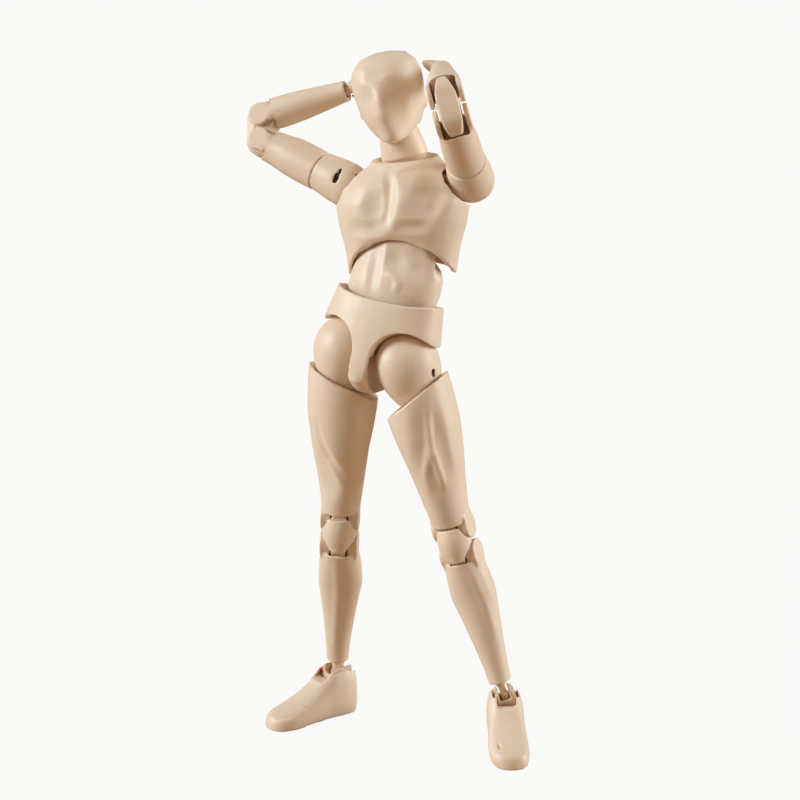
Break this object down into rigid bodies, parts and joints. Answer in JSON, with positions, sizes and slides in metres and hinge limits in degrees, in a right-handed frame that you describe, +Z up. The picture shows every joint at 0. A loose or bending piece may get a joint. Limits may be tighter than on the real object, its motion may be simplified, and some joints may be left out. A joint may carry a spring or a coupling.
{
  "type": "articulated action figure",
  "caption": "Blank jointed drawing figure of a man with ball, swivel and double hinge joints, standing with both hands behind its head.",
  "frame": {"origin": "centre of the bounding box on the floor, under the figure", "axes": "+Z up from the floor, the figure looks towards -Y, turned a little to -X, +X towards its left side"},
  "size_m": [0.0584, 0.056, 0.1401],
  "materials": {
    "skin_plastic": "matte moulded plastic",
    "joint_plastic": "matte moulded plastic"
  },
  "bodies": {
    "pelvis": {"pelvis": "skin_plastic"},
    "waist_base": {"waist_base": "joint_plastic"},
    "abdomen": {"abdomen": "skin_plastic"},
    "chest_joint": {"chest_joint": "joint_plastic"},
    "chest": {"chest": "skin_plastic"},
    "neck_joint": {"neck_joint": "joint_plastic"},
    "neck": {"neck": "skin_plastic"},
    "head_joint": {"head_joint": "joint_plastic"},
    "head": {"head_front": "skin_plastic", "head_back": "skin_plastic"},
    "right_shoulder_hinge": {"right_shoulder_hinge": "joint_plastic"},
    "right_shoulder_ball": {"right_shoulder_ball": "joint_plastic"},
    "right_deltoid": {"right_deltoid": "skin_plastic"},
    "right_upper_arm": {"right_upper_arm": "skin_plastic"},
    "right_elbow_joint": {"right_elbow_joint": "skin_plastic"},
    "right_forearm": {"right_forearm": "skin_plastic"},
    "right_wrist_joint": {"right_wrist_joint": "joint_plastic"},
    "right_hand": {"right_hand": "skin_plastic"},
    "left_shoulder_hinge": {"left_shoulder_hinge": "joint_plastic"},
    "left_shoulder_ball": {"left_shoulder_ball": "joint_plastic"},
    "left_deltoid": {"left_deltoid": "skin_plastic"},
    "left_upper_arm": {"left_upper_arm": "skin_plastic"},
    "left_elbow_joint": {"left_elbow_joint": "skin_plastic"},
    "left_forearm": {"left_forearm": "skin_plastic"},
    "left_wrist_joint": {"left_wrist_joint": "joint_plastic"},
    "left_hand": {"left_hand": "skin_plastic"},
    "right_hip_joint": {"right_hip_joint": "joint_plastic"},
    "right_hip_cap": {"right_hip_cap": "skin_plastic"},
    "right_thigh": {"right_thigh": "skin_plastic"},
    "right_knee_joint": {"right_knee_joint": "skin_plastic"},
    "right_shin": {"right_shin": "skin_plastic"},
    "right_ankle_peg": {"right_ankle_peg": "joint_plastic"},
    "right_ankle_drum": {"right_ankle_drum": "joint_plastic"},
    "right_foot": {"right_foot": "skin_plastic"},
    "left_hip_joint": {"left_hip_joint": "joint_plastic"},
    "left_hip_cap": {"left_hip_cap": "skin_plastic"},
    "left_thigh": {"left_thigh": "skin_plastic"},
    "left_knee_joint": {"left_knee_joint": "skin_plastic"},
    "left_shin": {"left_shin": "skin_plastic"},
    "left_ankle_peg": {"left_ankle_peg": "joint_plastic"},
    "left_ankle_drum": {"left_ankle_drum": "joint_plastic"},
    "left_foot": {"left_foot": "skin_plastic"}
  },
  "joints": [
    {"name": "waist_turn", "type": "hinge", "parent": "pelvis", "child": "waist_base", "pos_m": [0.00053, -0.00479, 0.0898], "axis": [-0.2126, -0.1162, -0.9702], "range_deg": [-7, 14]},
    {"name": "waist_bend", "type": "hinge", "parent": "waist_base", "child": "abdomen", "pos_m": [0.00053, -0.00479, 0.0898], "axis": [0.8895, -0.4341, -0.1429], "range_deg": [-8, 17]},
    {"name": "chest_lean", "type": "hinge", "parent": "abdomen", "child": "chest_joint", "pos_m": [0.00314, -0.00214, 0.098], "axis": [-0.3532, -0.8513, 0.3879], "range_deg": [-29, 0]},
    {"name": "chest_bend", "type": "hinge", "parent": "chest_joint", "child": "chest", "pos_m": [0.00342, -0.00017, 0.10258], "axis": [0.9338, -0.3463, 0.0902], "range_deg": [-14, 2]},
    {"name": "neck_bend", "type": "hinge", "parent": "chest", "child": "neck_joint", "pos_m": [0.00411, 0.00508, 0.11567], "axis": [0.9338, -0.3463, 0.0902], "range_deg": [-8, 5]},
    {"name": "neck_lean", "type": "hinge", "parent": "neck_joint", "child": "neck", "pos_m": [0.00379, 0.00516, 0.11925], "axis": [0.347, 0.9378, 0.0092], "range_deg": [-5, 5]},
    {"name": "head_nod", "type": "hinge", "parent": "neck", "child": "head_joint", "pos_m": [0.00199, 0.00576, 0.1264], "axis": [0.9058, -0.3376, 0.256], "range_deg": [-21, 8]},
    {"name": "head_turn", "type": "hinge", "parent": "head_joint", "child": "head", "pos_m": [0.00199, 0.00576, 0.1264], "axis": [-0.2209, 0.1392, 0.9653], "range_deg": [-41, 70]},
    {"name": "right_shoulder_forward", "type": "hinge", "parent": "chest", "child": "right_shoulder_hinge", "pos_m": [-0.00172, 0.00667, 0.11339], "axis": [0.0029, 0.2591, 0.9658], "range_deg": [0, 28]},
    {"name": "right_arm_swing", "type": "hinge", "parent": "right_shoulder_hinge", "child": "right_shoulder_ball", "pos_m": [-0.00795, 0.01088, 0.11228], "axis": [0.8194, -0.5542, 0.1463], "range_deg": [-143, 17]},
    {"name": "right_arm_raise", "type": "hinge", "parent": "right_shoulder_ball", "child": "right_deltoid", "pos_m": [-0.00795, 0.01088, 0.11228], "axis": [0.5494, 0.8322, 0.075], "range_deg": [-62, 0]},
    {"name": "right_arm_turn", "type": "hinge", "parent": "right_deltoid", "child": "right_upper_arm", "pos_m": [-0.00795, 0.01088, 0.11228], "axis": [0.7996, -0.4976, -0.3361], "range_deg": [-11, 11]},
    {"name": "right_elbow_upper", "type": "hinge", "parent": "right_upper_arm", "child": "right_elbow_joint", "pos_m": [-0.0253, 0.02168, 0.11958], "axis": [-0.3659, -0.8476, 0.3843], "range_deg": [-12, 60]},
    {"name": "right_elbow_lower", "type": "hinge", "parent": "right_elbow_joint", "child": "right_forearm", "pos_m": [-0.02521, 0.0238, 0.12433], "axis": [-0.3659, -0.8476, 0.3843], "range_deg": [0, 77]},
    {"name": "right_wrist_turn", "type": "hinge", "parent": "right_forearm", "child": "right_wrist_joint", "pos_m": [-0.00633, 0.01873, 0.13113], "axis": [-0.9121, 0.2447, -0.3288], "range_deg": [-50, 65]},
    {"name": "right_wrist_bend", "type": "hinge", "parent": "right_wrist_joint", "child": "right_hand", "pos_m": [-0.00633, 0.01873, 0.13113], "axis": [0.3429, 0.016, -0.9393], "range_deg": [-20, 26]},
    {"name": "left_shoulder_forward", "type": "hinge", "parent": "chest", "child": "left_shoulder_hinge", "pos_m": [0.00986, 0.00237, 0.11451], "axis": [0.0029, 0.2591, 0.9658], "range_deg": [-3, 9]},
    {"name": "left_arm_swing", "type": "hinge", "parent": "left_shoulder_hinge", "child": "left_shoulder_ball", "pos_m": [0.01716, 0.00034, 0.11503], "axis": [0.9612, -0.2673, 0.0689], "range_deg": [-38, 8]},
    {"name": "left_arm_raise", "type": "hinge", "parent": "left_shoulder_ball", "child": "left_deltoid", "pos_m": [0.01716, 0.00034, 0.11503], "axis": [-0.1253, -0.6448, -0.754], "range_deg": [-115, 6]},
    {"name": "left_arm_turn", "type": "hinge", "parent": "left_deltoid", "child": "left_upper_arm", "pos_m": [0.01716, 0.00034, 0.11503], "axis": [0.1958, 0.729, -0.6559], "range_deg": [-2, 147]},
    {"name": "left_elbow_upper", "type": "hinge", "parent": "left_upper_arm", "child": "left_elbow_joint", "pos_m": [0.01291, -0.01547, 0.12927], "axis": [0.9613, -0.0103, 0.2754], "range_deg": [-4, 69]},
    {"name": "left_elbow_lower", "type": "hinge", "parent": "left_elbow_joint", "child": "left_forearm", "pos_m": [0.01161, -0.01346, 0.13388], "axis": [0.9613, -0.0103, 0.2754], "range_deg": [-12, 60]},
    {"name": "left_wrist_turn", "type": "hinge", "parent": "left_forearm", "child": "left_wrist_joint", "pos_m": [0.01112, 0.00708, 0.13636], "axis": [0.0236, -0.9925, -0.1196], "range_deg": [-305, 35]},
    {"name": "left_wrist_bend", "type": "hinge", "parent": "left_wrist_joint", "child": "left_hand", "pos_m": [0.01112, 0.00708, 0.13636], "axis": [-0.8739, -0.0786, 0.4797], "range_deg": [-65, 17]},
    {"name": "right_hip_swing", "type": "hinge", "parent": "pelvis", "child": "right_hip_joint", "pos_m": [-0.00761, -0.00337, 0.08111], "axis": [0.878, -0.4584, -0.1374], "range_deg": [-20, 31]},
    {"name": "right_hip_spread", "type": "hinge", "parent": "right_hip_joint", "child": "right_hip_cap", "pos_m": [-0.00761, -0.00337, 0.08111], "axis": [0.4555, 0.8886, -0.0543], "range_deg": [-3, 44]},
    {"name": "right_thigh_turn", "type": "hinge", "parent": "right_hip_cap", "child": "right_thigh", "pos_m": [-0.00761, -0.00337, 0.08111], "axis": [0.0498, 0.0354, 0.9981], "range_deg": [-56, 17]},
    {"name": "right_knee_upper", "type": "hinge", "parent": "right_thigh", "child": "right_knee_joint", "pos_m": [-0.00935, -0.00461, 0.04617], "axis": [0.9957, -0.0793, -0.0468], "range_deg": [-6, 57]},
    {"name": "right_knee_lower", "type": "hinge", "parent": "right_knee_joint", "child": "right_shin", "pos_m": [-0.00958, -0.00399, 0.04021], "axis": [-0.9957, 0.0793, 0.0468], "range_deg": [-57, 6]},
    {"name": "right_ankle_turn", "type": "hinge", "parent": "right_shin", "child": "right_ankle_peg", "pos_m": [-0.01043, 0.00367, 0.00915], "axis": [0.0266, -0.2395, 0.9705], "range_deg": [0, 91]},
    {"name": "right_ankle_pitch", "type": "hinge", "parent": "right_ankle_peg", "child": "right_ankle_drum", "pos_m": [-0.01043, 0.00367, 0.00915], "axis": [0.5552, -0.8038, -0.2136], "range_deg": [-28, 41]},
    {"name": "right_ankle_roll", "type": "hinge", "parent": "right_ankle_drum", "child": "right_foot", "pos_m": [-0.01043, 0.00367, 0.00915], "axis": [0.8228, 0.5683, 0], "range_deg": [-8, 34]},
    {"name": "left_hip_swing", "type": "hinge", "parent": "pelvis", "child": "left_hip_joint", "pos_m": [0.00398, -0.00942, 0.07929], "axis": [0.878, -0.4584, -0.1374], "range_deg": [-88, 20]},
    {"name": "left_hip_spread", "type": "hinge", "parent": "left_hip_joint", "child": "left_hip_cap", "pos_m": [0.00398, -0.00942, 0.07929], "axis": [-0.4738, -0.8731, -0.1147], "range_deg": [-14, 17]},
    {"name": "left_thigh_turn", "type": "hinge", "parent": "left_hip_cap", "child": "left_thigh", "pos_m": [0.00398, -0.00942, 0.07929], "axis": [-0.2788, 0.0252, 0.96], "range_deg": [-54, 34]},
    {"name": "left_knee_upper", "type": "hinge", "parent": "left_thigh", "child": "left_knee_joint", "pos_m": [0.01374, -0.0103, 0.04569], "axis": [0.9001, -0.3417, 0.2704], "range_deg": [0, 64]},
    {"name": "left_knee_lower", "type": "hinge", "parent": "left_knee_joint", "child": "left_shin", "pos_m": [0.01543, -0.01042, 0.03993], "axis": [0.9001, -0.3417, 0.2704], "range_deg": [0, 64]},
    {"name": "left_ankle_turn", "type": "hinge", "parent": "left_shin", "child": "left_ankle_peg", "pos_m": [0.0245, -0.0108, 0.00925], "axis": [-0.2835, 0.0121, 0.9589], "range_deg": [-62, 16]},
    {"name": "left_ankle_pitch", "type": "hinge", "parent": "left_ankle_peg", "child": "left_ankle_drum", "pos_m": [0.0245, -0.0108, 0.00925], "axis": [0.9572, 0.0644, 0.2822], "range_deg": [-35, 33]},
    {"name": "left_ankle_roll", "type": "hinge", "parent": "left_ankle_drum", "child": "left_foot", "pos_m": [0.0245, -0.0108, 0.00925], "axis": [-0.0671, 0.9977, 0], "range_deg": [-38, 4]}
  ]
}
